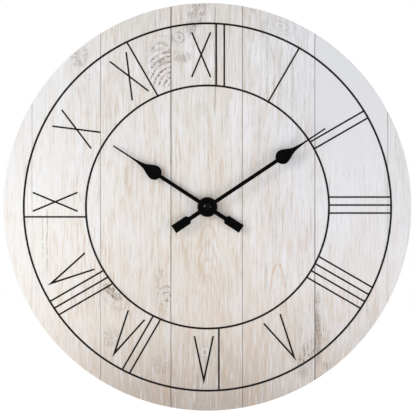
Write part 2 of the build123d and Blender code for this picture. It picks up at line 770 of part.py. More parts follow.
def hand(height, reach, bulb, angle, bore):
    """A spade hand: a weighted tail, an arm, a hub disc with a hole, a round spade and a needle."""
    foot = bulb - sqrt(BULB_R**2 - ARM_HALF**2)
    turn = radians(BULB_TURN)
    leave = (BULB_R * cos(turn), bulb + BULB_R * sin(turn))
    flank = [(half, bulb + ahead) for half, ahead in FLANK]
    with BuildSketch(room(height, angle)) as outline:
        with BuildLine():
            Polyline(
                (0, PADDLE_END),
                (PADDLE_HALF, PADDLE_END),
                (PADDLE_HALF, PADDLE_START),
                (TAIL_HALF, SHOULDER_END),
                (TAIL_HALF, 0),
                (ARM_HALF, HUB_R),
                (ARM_HALF, foot),
            )
            ThreePointArc((ARM_HALF, foot), (BULB_R, bulb), leave)
            Spline(leave, *flank, tangents=[(-sin(turn), cos(turn)), (0, 1)])
            Polyline(flank[-1], (TIP_HALF, reach), (0, reach))
            mirror(about=Plane.YZ)
        make_face()
        Circle(HUB_R)
        Circle(bore, mode=Mode.SUBTRACT)
    extrude(outline.sketch, amount=HAND_T)


BUSH_HOLE_R = 4.0

with BuildPart() as hour_hand:
    hand(HOUR_HAND_H, HOUR_REACH, HOUR_BULB, HOUR_ANGLE, BUSH_HOLE_R)
keep(hour_hand, "hour_hand")

with BuildPart() as hour_hand_bush:
    ring(HOUR_HAND_H - 0.5, HAND_T + 1.0, BUSH_HOLE_R, PIPE_R)
    ring(HOUR_HAND_H + HAND_T, 0.5, BUSH_HOLE_R + 1.2, PIPE_R)
keep(hour_hand_bush, "hour_hand_bush")

with BuildPart() as minute_hand:
    hand(MINUTE_HAND_H, MINUTE_REACH, MINUTE_BULB, MINUTE_ANGLE, BUSH_HOLE_R)
keep(minute_hand, "minute_hand")

BOSS_R = 8.3
BOSS_T = 0.9

with BuildPart() as minute_hand_bush:
    disc(MINUTE_HAND_H, HAND_T, BUSH_HOLE_R, CENTRE)
    disc(MINUTE_HAND_H + HAND_T, BOSS_T, BOSS_R, CENTRE)
    fillet(minute_hand_bush.faces().sort_by(Axis.Y)[0].edges(), 0.4)
    with BuildSketch(room(MINUTE_HAND_H, MINUTE_ANGLE)):
        Circle(ARBOR_R)
        Rectangle(2 * FLAT_HALF, 4 * ARBOR_R, mode=Mode.INTERSECT)
    extrude(amount=HAND_T + BOSS_T, mode=Mode.SUBTRACT)
keep(minute_hand_bush, "minute_hand_bush")

CAP_NUT_R = 4.7
CAP_NUT_H = MINUTE_HAND_H + HAND_T + BOSS_T
CAP_NUT_T = 2.9

with BuildPart() as cap_nut:
    disc(CAP_NUT_H, CAP_NUT_T, CAP_NUT_R, CENTRE)
    fillet(cap_nut.faces().sort_by(Axis.Y)[0].edges(), 1.6)
    disc(CAP_NUT_H, ARBOR_TOP - CAP_NUT_H + 0.2, ARBOR_R, CENTRE, Mode.SUBTRACT)
keep(cap_nut, "cap_nut")
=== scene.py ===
import json
import math
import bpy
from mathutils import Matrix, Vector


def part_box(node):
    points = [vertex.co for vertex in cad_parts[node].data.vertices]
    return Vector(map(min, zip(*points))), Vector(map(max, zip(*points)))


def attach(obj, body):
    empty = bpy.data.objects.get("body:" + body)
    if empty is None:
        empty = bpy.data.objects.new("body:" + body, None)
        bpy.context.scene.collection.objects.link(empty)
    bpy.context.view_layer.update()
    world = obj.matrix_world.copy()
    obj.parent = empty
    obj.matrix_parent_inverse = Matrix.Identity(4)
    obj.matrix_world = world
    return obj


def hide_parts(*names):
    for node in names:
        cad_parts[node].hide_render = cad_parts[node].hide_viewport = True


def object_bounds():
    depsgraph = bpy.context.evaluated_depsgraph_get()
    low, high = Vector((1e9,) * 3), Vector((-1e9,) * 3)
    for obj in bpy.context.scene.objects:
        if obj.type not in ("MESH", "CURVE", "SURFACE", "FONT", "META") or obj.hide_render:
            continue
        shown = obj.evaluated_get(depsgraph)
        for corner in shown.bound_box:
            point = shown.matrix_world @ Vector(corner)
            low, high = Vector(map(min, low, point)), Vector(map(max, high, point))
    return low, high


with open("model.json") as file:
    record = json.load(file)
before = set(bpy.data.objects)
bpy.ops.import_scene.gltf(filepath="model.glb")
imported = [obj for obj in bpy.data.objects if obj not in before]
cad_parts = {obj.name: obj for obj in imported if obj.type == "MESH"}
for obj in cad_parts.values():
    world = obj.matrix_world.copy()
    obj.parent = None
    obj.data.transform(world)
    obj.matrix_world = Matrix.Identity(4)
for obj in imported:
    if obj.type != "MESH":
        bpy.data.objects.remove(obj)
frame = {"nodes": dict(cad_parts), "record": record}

from types import SimpleNamespace

import bmesh
import bpy
from mathutils import Vector

# The round wall clock. Metres in the row frame: X to the right, Z up, Y into the wall. Patterns on the print
# are laid out in millimetres from the axis of the hands, by the groups below.
cad_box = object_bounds()
NODES = frame["nodes"]
MM = 0.001


# ------------------------------------------------------------------ wiring
def linear(r, g, b):
    """A screen colour, 0 to 255, as the linear colour that shaders take."""
    parts = [v / 255 for v in (r, g, b)]
    return tuple(v / 12.92 if v <= 0.04045 else ((v + 0.055) / 1.055) ** 2.4 for v in parts) + (1.0,)


class Wires:
    """Adds nodes to one tree and joins them. A plain value goes straight onto the socket."""

    def __init__(self, tree):
        self.tree = tree

    def feed(self, socket, value):
        if isinstance(value, bpy.types.NodeSocket):
            self.tree.links.new(value, socket)
        else:
            socket.default_value = value

    def node(self, kind, inputs=None, **settings):
        made = self.tree.nodes.new(kind)
        for name, value in settings.items():
            setattr(made, name, value)
        for name, value in (inputs or {}).items():
            self.feed(made.inputs[name], value)
        return made

    def math(self, operation, *values, clamp=False):
        made = self.node("ShaderNodeMath", operation=operation, use_clamp=clamp)
        for socket, value in zip(made.inputs, values):
            self.feed(socket, value)
        return made.outputs[0]

    def add(self, *values):
        total = values[0]
        for value in values[1:]:
            total = self.math("ADD", total, value)
        return total

    def times(self, *values):
        total = values[0]
        for value in values[1:]:
            total = self.math("MULTIPLY", total, value)
        return total

    def most(self, first, second):
        return self.math("MAXIMUM", first, second)

    def away(self, value, place):
        """How far a value is from a place, either way."""
        return self.math("ABSOLUTE", self.math("SUBTRACT", value, place))

    def fade(self, value, start, end, low=0.0, high=1.0):
        """Goes smoothly from low to high as value goes from start to end."""
        limits = {"From Min": start, "From Max": end, "To Min": low, "To Max": high}
        made = self.node("ShaderNodeMapRange", {"Value": value, **limits}, interpolation_type="SMOOTHSTEP")
        return made.outputs[0]

    def vector(self, x, y, z):
        """Three values joined into one place."""
        return self.node("ShaderNodeCombineXYZ", {"X": x, "Y": y, "Z": z}).outputs[0]

    def noise(self, vector, scale=1.0, detail=2.0, roughness=0.5):
        inputs = {"Scale": scale, "Detail": detail, "Roughness": roughness}
        return self.node("ShaderNodeTexNoise", {"Vector": vector, **inputs}).outputs["Fac"]

    def mix(self, factor, first, second):
        made = self.node("ShaderNodeMix", data_type="RGBA")
        for socket, value in zip((made.inputs[0], made.inputs[6], made.inputs[7]), (factor, first, second)):
            self.feed(socket, value)
        return made.outputs[2]

    def ramp(self, factor, stops):
        """A colour ramp: stops is a list of (place, colour)."""
        made = self.node("ShaderNodeValToRGB", {"Fac": factor})
        elements = made.color_ramp.elements
        while len(elements) < len(stops):
            elements.new(0.5)
        for element, (place, colour) in zip(elements, sorted(stops, key=lambda stop: stop[0])):
            element.position = place
            element.color = colour
        return made.outputs[0]

    def bump(self, height, strength, distance):
        made = self.node("ShaderNodeBump", {"Height": height, "Strength": strength, "Distance": distance})
        return made.outputs[0]

    def use(self, group, **inputs):
        """Places a node group. Underscores in input names stand for spaces."""
        made = self.node("ShaderNodeGroup", node_tree=group)
        for name, value in inputs.items():
            self.feed(made.inputs[name.replace("_", " ")], value)
        return made.outputs


def new_group(name, inputs, outputs):
    """An empty shader group with float inputs and the outputs given as {name: kind}."""
    tree = bpy.data.node_groups.new(name, "ShaderNodeTree")
    for label, value in inputs.items():
        socket = tree.interface.new_socket(label, in_out="INPUT", socket_type="NodeSocketFloat")
        socket.default_value = value
    for label, kind in outputs.items():
        tree.interface.new_socket(label, in_out="OUTPUT", socket_type=f"NodeSocket{kind}")
    wires = Wires(tree)
    given = wires.node("NodeGroupInput").outputs
    wanted = wires.node("NodeGroupOutput").inputs
    return tree, wires, given, wanted


def surface(name):
    """A new material, its wires and its Principled shader."""
    material = bpy.data.materials.new(name)
    material.use_nodes = True
    material.node_tree.nodes.clear()
    wires = Wires(material.node_tree)
    shader = wires.node("ShaderNodeBsdfPrincipled")
    wires.node("ShaderNodeOutputMaterial", {"Surface": shader.outputs[0]})
    return material, wires, shader


# ------------------------------------------------------------------ shared effects
def build_millimetres():
    """Where a point is on the clock, in millimetres from the axis of the hands."""
    tree, w, given, wanted = new_group("millimetres", {}, {"X": "Float", "Z": "Float", "Depth": "Float"})
    place = w.node("ShaderNodeTexCoord").outputs["Object"]
    parts = w.node("ShaderNodeSeparateXYZ", {"Vector": place}).outputs
    for label, axis in (("X", "X"), ("Z", "Z"), ("Depth", "Y")):
        w.feed(wanted[label], w.times(parts[axis], 1000.0))
    return tree


def build_streaks():
    """Long streaks along Z. Across and Along are how fast the pattern changes, per millimetre."""
    inputs = {"X": 0.0, "Z": 0.0, "Seed": 0.0, "Across": 0.4, "Along": 0.01, "Detail": 3.0}
    tree, w, given, wanted = new_group("streaks", inputs, {"Value": "Float"})
    x = w.times(given["X"], given["Across"])
    z = w.times(given["Z"], given["Along"])
    w.feed(wanted["Value"], w.noise(w.vector(x, z, given["Seed"]), 1.0, given["Detail"], 0.62))
    return tree


def build_knot():
    """One knot: rings round its middle, hairs that radiate from it, and how far it spreads."""
    inputs = {
        "X": 0.0,
        "Z": 0.0,
        "Ragged": 0.5,
        "Middle X": 0.0,
        "Middle Z": 0.0,
        "Half Width": 10.0,
        "Half Height": 10.0,
        "Lean": 0.0,
        "Rings": 3.0,
        "Foot": -1000.0,
        "Head": 1000.0,
        "Side": 1000.0,
    }
    outputs = {"Lines": "Float", "Hairs": "Float", "Spread": "Float"}
    tree, w, given, wanted = new_group("knot", inputs, outputs)
    dx = w.math("SUBTRACT", given["X"], given["Middle X"])
    dz = w.math("SUBTRACT", given["Z"], given["Middle Z"])
    turn_cos = w.math("COSINE", given["Lean"])
    turn_sin = w.math("SINE", given["Lean"])
    across = w.math("SUBTRACT", w.times(dx, turn_cos), w.times(dz, turn_sin))
    along = w.add(w.times(dx, turn_sin), w.times(dz, turn_cos))
    across = w.math("DIVIDE", across, given["Half Width"])
    along = w.math("DIVIDE", along, given["Half Height"])
    reach = w.math("SQRT", w.add(w.times(across, across), w.times(along, along), 0.0001))
    jitter = w.times(w.math("SUBTRACT", given["Ragged"], 0.5), 8.0)
    shake = w.math("DIVIDE", jitter, given["Half Width"])
    uneven = w.add(reach, shake)
    from_foot = w.math("SUBTRACT", dz, given["Foot"])
    from_head = w.math("SUBTRACT", given["Head"], dz)
    from_side = w.math("SUBTRACT", given["Side"], w.math("ABSOLUTE", dx))
    ends = w.times(w.fade(from_foot, -3.0, 3.0), w.fade(from_head, -3.0, 3.0))
    spread = w.times(w.fade(uneven, 1.0, 0.6), ends, w.fade(from_side, -3.0, 9.0))
    wave = w.math("SINE", w.times(uneven, given["Rings"], math.tau))
    w.feed(wanted["Lines"], w.times(w.fade(wave, 0.05, 0.85), spread))
    heading = w.vector(
        w.times(w.math("DIVIDE", across, reach), 6.0),
        w.times(w.math("DIVIDE", along, reach), 6.0),
        w.times(reach, 1.2),
    )
    w.feed(wanted["Hairs"], w.times(w.fade(w.noise(heading, 1.0, 2.0, 0.6), 0.44, 0.60), spread))
    w.feed(wanted["Spread"], spread)
    return tree


def build_skin():
    """The fine texture of a moulded or sprayed surface: a normal, and a tone that drifts about 0.5."""
    inputs = {"Grain": 3.0, "Depth": 0.2}
    tree, w, given, wanted = new_group("skin", inputs, {"Normal": "Vector", "Tone": "Float"})
    place = w.node("ShaderNodeTexCoord").outputs["Object"]
    per_metre = w.times(given["Grain"], 1000.0)
    fine = w.node("ShaderNodeVectorMath", {0: place, "Scale": per_metre}, operation="SCALE")
    pits = w.noise(fine.outputs[0], 1.0, 2.0, 0.55)
    w.feed(wanted["Normal"], w.bump(pits, given["Depth"], 0.0001))
    w.feed(wanted["Tone"], w.noise(place, 90.0, 3.0, 0.6))
    return tree


def build_dust():
    """Dust that settles on what faces up, thicker in patches."""
    tree, w, given, wanted = new_group("dust", {"Amount": 0.3}, {"Mask": "Float"})
    up = w.node("ShaderNodeSeparateXYZ", {"Vector": w.node("ShaderNodeNewGeometry").outputs["Normal"]})
    place = w.node("ShaderNodeTexCoord").outputs["Object"]
    patch = w.fade(w.noise(place, 160.0, 3.0, 0.6), 0.35, 0.7)
    settled = w.times(w.fade(up.outputs["Z"], 0.3, 1.0), patch)
    w.feed(wanted["Mask"], w.times(settled, given["Amount"]))
    return tree


MILLIMETRES = build_millimetres()
STREAKS = build_streaks()
KNOT = build_knot()
SKIN = build_skin()
DUST = build_dust()


# ------------------------------------------------------------------ the print
# Plank seams: place across the dial, half width, strength at the top and at the foot.
SEAMS = [
    (-215.0, 0.50, 0.34, 0.16),
    (-131.0, 0.50, 0.58, 0.50),
    (-44.7, 0.60, 0.95, 0.66),
    (42.9, 0.50, 0.72, 0.62),
    (131.7, 0.52, 0.60, 0.95),
    (221.0, 0.50, 0.56, 0.10),
]
# Knots, bursts and smudges: plank, middle, half width, half height, lean in degrees, rings, cut-off below,
# above and to the sides of the middle, then how strong the rings, the hairs and the mottling are.
FAR = 90.0
STRONG_RINGS = 0.5
KNOTS = [
    (2, -41.0, 145.0, 62.0, 68.0, 0.0, 10.6, 3.0, 50.0, 33.0, 1.0, 0.0, 0.26),
    (2, -60.0, 172.0, 24.0, 46.0, 8.0, 5.0, 19.0, FAR, FAR, 0.66, 0.0, 0.34),
    (2, -56.0, 178.5, 17.0, 6.5, -22.0, 1.4, -FAR, FAR, FAR, 0.60, 0.30, 0.85),
    (3, -35.0, 208.0, 14.0, 12.0, 20.0, 2.4, -FAR, FAR, FAR, 0.60, 0.16, 0.50),
    (3, -31.0, 192.0, 18.0, 19.0, 0.0, 1.0, -FAR, -2.0, FAR, 0.0, 0.42, 0.0),
    (3, -14.0, 236.0, 13.0, 34.0, 24.0, 3.4, -FAR, FAR, FAR, 0.58, 0.40, 0.75),
    (1, -157.0, 185.0, 14.0, 17.0, 0.0, 1.7, -FAR, FAR, FAR, 0.25, 0.35, 0.60),
    (1, -147.0, 161.0, 16.0, 8.0, 20.0, 2.5, -FAR, 4.0, FAR, 0.25, 0.0, 0.12),
    (2, -116.0, -105.0, 19.0, 6.5, 42.0, 1.0, -FAR, FAR, FAR, 0.0, 0.85, 0.95),
    (2, -113.0, -111.0, 26.0, 17.0, 40.0, 1.8, -FAR, FAR, FAR, 0.26, 0.10, 0.22),
    (2, -50.0, -114.0, 17.0, 24.0, 0.0, 3.2, -4.0, FAR, FAR, 0.70, 0.0, 0.34),
    (2, -57.0, -101.0, 13.0, 38.0, 0.0, 3.4, -FAR, FAR, FAR, 0.16, 0.08, 0.40),
    (2, -118.0, -160.0, 13.0, 16.0, 0.0, 1.0, -FAR, FAR, FAR, 0.0, 0.26, 0.34),
    (2, -57.0, -193.0, 13.0, 15.0, 0.0, 1.2, -FAR, FAR, FAR, 0.08, 0.20, 0.26),
    (3, -3.0, -178.0, 7.5, 8.5, 0.0, 1.4, -FAR, FAR, FAR, 0.70, 0.0, 0.10),
    (4, 121.0, -186.0, 11.0, 32.0, 12.0, 3.0, -FAR, FAR, FAR, 0.12, 0.30, 0.95),
    (5, 145.5, -194.6, 7.0, 7.0, 0.0, 1.2, -FAR, FAR, FAR, 0.35, 0.30, 1.0),
    (5, 144.0, -156.0, 7.0, 18.0, 10.0, 2.0, -FAR, FAR, FAR, 0.05, 0.10, 0.75),
    (4, 90.0, 222.0, 24.0, 14.0, 15.0, 3.0, -FAR, FAR, FAR, 0.26, 0.06, 0.08),
]
# Cathedral arches: plank, middle, height of the tip, how tightly the lines turn, spacing of the lines, how
# many lines, strength.
ARCHES = [
    (3, 1.0, -22.0, 5.5, 21.0, 5.0, 0.36),
    (4, 87.0, -69.0, 2.6, 30.0, 1.0, 0.62),
]
# Cracks: place across, top, foot, half width, strength, and whether it is broken into dots.
CRACKS = [
    (9.4, 250.0, 105.0, 0.45, 0.62, 0.0),
    (-196.6, 0.0, -86.0, 0.50, 0.52, 0.8),
    (-202.0, 2.0, -70.0, 0.55, 0.35, 1.0),
    (-63.8, 235.0, 205.0, 0.45, 0.45, 0.3),
    (72.5, 215.0, 120.0, 0.45, 0.30, 0.8),
    (104.0, 200.0, 60.0, 0.45, 0.28, 0.8),
    (88.0, 60.0, -30.0, 0.35, 0.22, 0.6),
    (98.5, 40.0, -50.0, 0.35, 0.18, 0.6),
    (3.5, -12.0, -30.0, 0.4, 0.30, 0.2),
    (-12.0, -200.0, -245.0, 0.5, 0.40, 0.6),
    (-20.0, -40.0, -62.0, 0.5, 0.40, 0.2),
]
# Colours at heights up the dial: on its middle planks, towards its left rim and towards its right rim. All
# three are darker towards the top and the foot.
WHOLE_TOP = 240.0
CENTRE_TONES = [
    (240, (217, 214, 210)),
    (90, (231, 228, 225)),
    (-40, (231, 225, 218)),
    (-150, (221, 213, 205)),
    (-240, (182, 171, 162)),
]
# Towards the left rim the colours are lighter: painted light, standing in for the light falling more strongly
# on that side.
LEFT_TONES_AND_PAINTED_LIGHT = [
    (150, (232, 232, 233)),
    (-20, (246, 244, 241)),
    (-120, (243, 238, 233)),
    (-240, (214, 203, 193)),
]
RIGHT_TONES = [
    (240, (221, 223, 228)),
    (0, (231, 230, 233)),
    (-100, (232, 229, 228)),
    (-240, (197, 188, 181)),
]
TAN = linear(208, 172, 140)
GREY_BEIGE = linear(184, 174, 158)
DARK_BROWN = linear(112, 90, 66)
SEAM_BROWN = linear(96, 80, 66)
LAVENDER_WHITE = linear(240, 239, 246)
PRINT_GLOSS = 0.25


def tones_up(w, height, tones):
    """A colour that changes with height: tones are (height in millimetres, screen colour)."""
    span = 2 * WHOLE_TOP
    share = w.math("DIVIDE", w.add(height, WHOLE_TOP), span)
    return w.ramp(share, [((place + WHOLE_TOP) / span, linear(*colour)) for place, colour in tones])


# Grain: how fast it changes across and along, per millimetre, then its own seed and how finely it is divided.
GRAIN = {
    "fine": (0.42, 0.014, 0.0, 4.0),
    "short": (0.36, 0.034, 20.0, 4.0),
    "broad": (0.11, 0.007, 100.0, 2.0),
    "columns": (0.050, 0.010, 40.0, 2.0),
    "patches": (0.030, 0.014, 60.0, 3.0),
    "pores": (0.78, 0.045, 80.0, 3.0),
}
PLANK_SEED = 5.1
GRAIN_WANDER = 9.0
SEAM_WANDER = 1.4
# How strongly each layer of colour shows.
WASH = 0.45
TAN_FLECKS = 0.54
TAN_COLUMNS = 0.15
BEIGE_LINES = 0.42
WHITE_LINES = 0.55
BEIGE_PORES = 0.42
WHITE_PORES = 0.44
BLEACHED = 0.30
CHECKS = 0.42
STRIP = 0.66
# How soft a drawn line is outside and inside its half width.
LINE_OUT = 0.5
LINE_IN = 0.35


def lay_out(w):
    """What every part of the print is drawn from: the place, the planks and the layers of grain."""
    spot = w.use(MILLIMETRES)
    x, z = spot["X"], spot["Z"]
    mottle = w.noise(w.vector(w.times(x, 0.17), w.times(z, 0.12), 50.0), 1.0, 4.0, 0.65)
    specks = w.noise(w.vector(w.times(x, 0.55), w.times(z, 0.50), 90.0), 1.0, 3.0, 0.6)
    slow = w.noise(w.vector(0.0, w.times(z, 0.03), 8.0))
    shake = w.times(w.math("SUBTRACT", slow, 0.5), SEAM_WANDER)

    plank = 0.0
    for place, _, _, _ in SEAMS:
        plank = w.add(plank, w.math("GREATER_THAN", w.add(x, shake), place))
    on_plank = [w.math("COMPARE", plank, float(number), 0.4) for number in range(len(SEAMS) + 1)]
    seed = w.times(plank, PLANK_SEED)
    wander = w.noise(w.vector(w.times(x, 0.010), w.times(z, 0.009), seed), 1.0, 2.0)
    grain_x = w.add(x, w.times(wander, GRAIN_WANDER))
    layers = {}
    for name, (across, along, shift, detail) in GRAIN.items():
        place = {"X": grain_x, "Z": z, "Seed": w.add(seed, shift)}
        layers[name] = w.use(STREAKS, Across=across, Along=along, Detail=detail, **place)["Value"]
    places = {"x": x, "z": z, "shake": shake, "wander": wander, "on_plank": on_plank}
    return SimpleNamespace(mottle=mottle, specks=specks, **places, **layers)


def drift(w):
    """The slow change of colour over the whole dial, from left to right and from top to foot: the lighter left
    rim is painted light, and the dial is darker towards the top and the foot.
    """
    spot = w.use(MILLIMETRES)
    left, centre, right = (tones_up(w, spot["Z"], tones) for tones in (LEFT_TONES_AND_PAINTED_LIGHT, CENTRE_TONES, RIGHT_TONES))
    base = w.mix(w.fade(spot["X"], -60.0, -225.0), centre, left)
    return w.mix(w.fade(spot["X"], 20.0, 120.0), base, right)


def whitewash(w, g, base):
    """Whitewash in patches, and what shows through it: tan flecks and columns, beige lines, fine pores."""
    low = w.fade(g.z, -40.0, -130.0)
    plain = w.times(g.on_plank[5], w.fade(g.z, 20.0, 110.0), w.fade(g.x, 232.0, 216.0))
    lively = w.math("SUBTRACT", 1.0, w.times(plain, 0.94))
    lively = w.times(lively, w.most(w.fade(g.x, 110.0, 150.0, 1.0, 0.66), low))
    lively = w.times(lively, w.fade(g.x, -150.0, -200.0, 1.0, 0.62))
    warm = w.most(w.fade(g.x, 130.0, 20.0, 0.55, 1.0), low)
    warm = w.times(warm, w.fade(g.z, 220.0, -60.0, 0.65, 1.0))

    washed = w.times(w.fade(g.patches, 0.50, 0.68), w.fade(g.z, -230.0, -30.0, 0.25, 1.0), lively)
    base = w.mix(w.times(washed, WASH), base, LAVENDER_WHITE)
    bare = w.times(w.fade(g.columns, 0.36, 0.60, 0.15, 1.0), w.fade(g.patches, 0.60, 0.42))
    flecks = w.times(w.fade(g.short, 0.46, 0.66), bare, lively, warm)
    base = w.mix(w.times(flecks, TAN_FLECKS), base, TAN)
    columns = w.times(w.fade(g.broad, 0.48, 0.66), lively, warm)
    base = w.mix(w.times(columns, TAN_COLUMNS), base, TAN)
    beige = w.times(w.fade(g.fine, 0.50, 0.70), w.fade(g.mottle, 0.35, 0.6, 0.4, 1.0), lively)
    base = w.mix(w.times(beige, BEIGE_LINES), base, GREY_BEIGE)
    light = w.times(w.fade(g.fine, 0.47, 0.32), lively, w.fade(low, 1.0, 0.0, 0.6, 1.0))
    base = w.mix(w.times(light, WHITE_LINES), base, LAVENDER_WHITE)
    base = w.mix(w.times(w.fade(g.pores, 0.54, 0.68), lively, BEIGE_PORES), base, GREY_BEIGE)
    return w.mix(w.times(w.fade(g.pores, 0.46, 0.32), lively, WHITE_PORES), base, LAVENDER_WHITE)


def draw_arches(w, g, base):
    """Cathedral arches: curved lines one below another, each turning down to both sides."""
    for number, middle, tip, turn, spacing, lines, strength in ARCHES:
        off = w.away(w.add(g.x, w.times(g.wander, 6.0)), middle + 3.0)
        level = w.math("SUBTRACT", tip, w.add(g.z, w.times(off, off, 1.0 / turn)))
        uneven = w.times(w.math("SUBTRACT", g.mottle, 0.5), 8.0)
        level = w.math("DIVIDE", w.add(level, uneven), spacing)
        from_line = w.away(w.math("FRACT", w.add(level, 0.5)), 0.5)
        steep = w.math("SQRT", w.add(w.times(off, off, 4.0 / turn**2), 1.0))
        line = w.fade(w.math("DIVIDE", w.times(from_line, spacing), steep), 2.0, 0.6)
        within = w.times(w.fade(level, -0.5, -0.4), w.fade(level, lines - 0.4, lines - 0.5))
        depth = spacing * lines
        fading = w.times(w.fade(off, 24.0, 10.0), w.fade(g.mottle, 0.34, 0.56, 0.15, 1.0))
        fading = w.times(fading, w.fade(g.z, tip - depth - 16.0, tip - depth * 0.6))
        base = w.mix(w.times(line, within, fading, g.on_plank[number], strength), base, TAN)
    return base


def draw_knots(w, g, base):
    """Knots and smudges in dark brown, the strongly ringed ones on bleached wood."""
    stain = 0.0
    bleached = 0.0
    ragged = w.add(w.times(g.mottle, 0.72), w.times(g.specks, 0.28))
    flecks = w.times(w.fade(g.mottle, 0.42, 0.58, 0.1, 1.0), w.fade(w.add(g.pores, g.specks), 0.98, 1.14))
    broken = w.times(w.fade(g.mottle, 0.38, 0.56, 0.25, 1.0), w.fade(g.specks, 0.40, 0.56, 0.34, 1.0))
    for number, mid_x, mid_z, half_w, half_h, lean, rings, foot, head, side, ringed, hairy, mottled in KNOTS:
        size = {"Half_Width": half_w, "Half_Height": half_h, "Lean": math.radians(lean), "Rings": rings}
        place = {"Middle_X": mid_x, "Middle_Z": mid_z, "Foot": foot, "Head": head, "Side": side}
        knot = w.use(KNOT, X=g.x, Z=g.z, Ragged=ragged, **place, **size)
        marks = w.times(knot["Lines"], broken, ringed)
        if hairy:
            marks = w.most(marks, w.times(knot["Hairs"], hairy))
        if mottled:
            marks = w.most(marks, w.times(knot["Spread"], flecks, mottled))
        stain = w.most(stain, w.times(marks, g.on_plank[number]))
        if ringed > STRONG_RINGS:
            bleached = w.most(bleached, w.times(knot["Spread"], g.on_plank[number], ringed))
    base = w.mix(w.times(bleached, BLEACHED), base, LAVENDER_WHITE)
    return w.mix(w.math("MINIMUM", stain, 1.0), base, DARK_BROWN)


def draw_weathering(w, g, base):
    """Short dark checks in the upper middle plank, and the weathered strip beside the lower right seam."""
    upper = w.times(g.on_plank[4], w.fade(g.z, 70.0, 130.0), w.fade(w.away(g.x, 84.0), 44.0, 20.0))
    checks = w.times(w.fade(g.short, 0.60, 0.70), upper, CHECKS)
    ends = w.times(w.fade(g.z, -96.0, -118.0), w.fade(g.z, -205.0, -172.0))
    strip = w.times(g.on_plank[5], ends, w.fade(g.x, 141.0, 136.0))
    worn = w.times(w.fade(g.short, 0.36, 0.54, 0.2, 1.0), w.fade(g.specks, 0.36, 0.56, 0.45, 1.0))
    return w.mix(w.most(checks, w.times(strip, worn, STRIP)), base, DARK_BROWN)


def draw_seams(w, g, base):
    """The seams between the planks, and the cracks that run along them."""
    lines = 0.0
    for place, half, top, foot in SEAMS:
        off = w.away(w.add(g.x, g.shake), place)
        strength = w.times(w.fade(g.z, 200.0, -200.0, top, foot), w.fade(g.columns, 0.30, 0.50, 0.6, 1.0))
        lines = w.most(lines, w.times(w.fade(off, half + LINE_OUT, half - LINE_IN), strength))
    for place, top, foot, half, strength, dotted in CRACKS:
        off = w.away(w.add(g.x, w.times(g.shake, 1.5)), place)
        stretch = w.times(w.fade(g.z, top, top - 8.0), w.fade(g.z, foot, foot + 25.0), strength)
        broken = w.fade(g.mottle, 0.42, 0.52, 1.0 - dotted, 1.0)
        lines = w.most(lines, w.times(w.fade(off, half + LINE_OUT, half - LINE_IN), stretch, broken))
    return w.mix(lines, base, SEAM_BROWN)


def printed_planks():
    """Whitewashed planks: seams, long grain, knots, arches and cracks, warmer and darker towards the foot."""
    material, w, shader = surface("printed_planks")
    grain = lay_out(w)
    base = drift(w)
    for layer in (whitewash, draw_arches, draw_knots, draw_weathering, draw_seams):
        base = layer(w, grain, base)
    w.feed(shader.inputs["Base Color"], base)
    w.feed(shader.inputs["Roughness"], w.fade(grain.fine, 0.2, 0.8, 0.50, 0.62))
    w.feed(shader.inputs["Normal"], w.bump(grain.fine, 0.05, 0.0002))
    shader.inputs["Specular IOR Level"].default_value = PRINT_GLOSS
    return material


def printed_ink():
    """Dark brown-black ink, a little uneven along the strokes."""
    material, w, shader = surface("printed_ink")
    skin = w.use(SKIN, Grain=2.0, Depth=0.08)
    w.feed(shader.inputs["Base Color"], w.mix(skin["Tone"], linear(18, 13, 13), linear(32, 25, 25)))
    w.feed(shader.inputs["Roughness"], w.fade(skin["Tone"], 0.3, 0.7, 0.5, 0.62))
    w.feed(shader.inputs["Normal"], skin["Normal"])
    shader.inputs["Specular IOR Level"].default_value = PRINT_GLOSS
    return material


# ------------------------------------------------------------------ other finishes
BOARD_R = 250.0
ARRIS_BACK = -22.25
ARRIS_FRONT = -22.45


def fibreboard():
    """Raw pressed fibreboard: fine flecks, an edge faintly scorched where it was cut, a pale arris in front."""
    material, w, shader = surface("fibreboard")
    spot = w.use(MILLIMETRES)
    x, z = spot["X"], spot["Z"]
    flecks = w.noise(w.vector(w.times(x, 1.3), w.times(z, 1.3), w.times(spot["Depth"], 2.5)), 1.0, 3.0, 0.7)
    clouds = w.noise(w.vector(w.times(x, 0.03), w.times(z, 0.03), w.times(spot["Depth"], 0.4)), 1.0, 3.0, 0.6)
    base = w.mix(w.fade(clouds, 0.3, 0.7), linear(176, 145, 108), linear(186, 156, 119))
    base = w.mix(w.fade(flecks, 0.54, 0.70), base, linear(128, 98, 66))
    base = w.mix(w.times(w.fade(flecks, 0.42, 0.30), 0.6), base, linear(212, 186, 150))
    radius = w.math("SQRT", w.add(w.times(x, x), w.times(z, z)))
    base = w.mix(w.fade(radius, BOARD_R - 1.0, BOARD_R - 0.2, 0.0, 0.55), base, linear(112, 78, 48))
    base = w.mix(w.use(DUST, Amount=0.25)["Mask"], base, linear(200, 196, 190))
    base = w.mix(w.fade(spot["Depth"], ARRIS_BACK, ARRIS_FRONT), base, linear(226, 222, 216))
    w.feed(shader.inputs["Base Color"], base)
    w.feed(shader.inputs["Roughness"], w.fade(flecks, 0.3, 0.7, 0.72, 0.9))
    w.feed(shader.inputs["Normal"], w.bump(flecks, 0.25, 0.0002))
    return material


def moulded(name, dark, light, roughness, grain=2.5, depth=0.3, dusty=0.0, gloss=0.4):
    """Moulded plastic or sprayed lacquer between two close colours."""
    material, w, shader = surface(name)
    skin = w.use(SKIN, Grain=grain, Depth=depth)
    base = w.mix(w.fade(skin["Tone"], 0.3, 0.7), linear(*dark), linear(*light))
    if dusty:
        base = w.mix(w.use(DUST, Amount=dusty)["Mask"], base, linear(150, 148, 144))
    w.feed(shader.inputs["Base Color"], base)
    w.feed(shader.inputs["Roughness"], w.fade(skin["Tone"], 0.3, 0.7, roughness - 0.05, roughness + 0.05))
    w.feed(shader.inputs["Normal"], skin["Normal"])
    shader.inputs["Specular IOR Level"].default_value = gloss
    return material


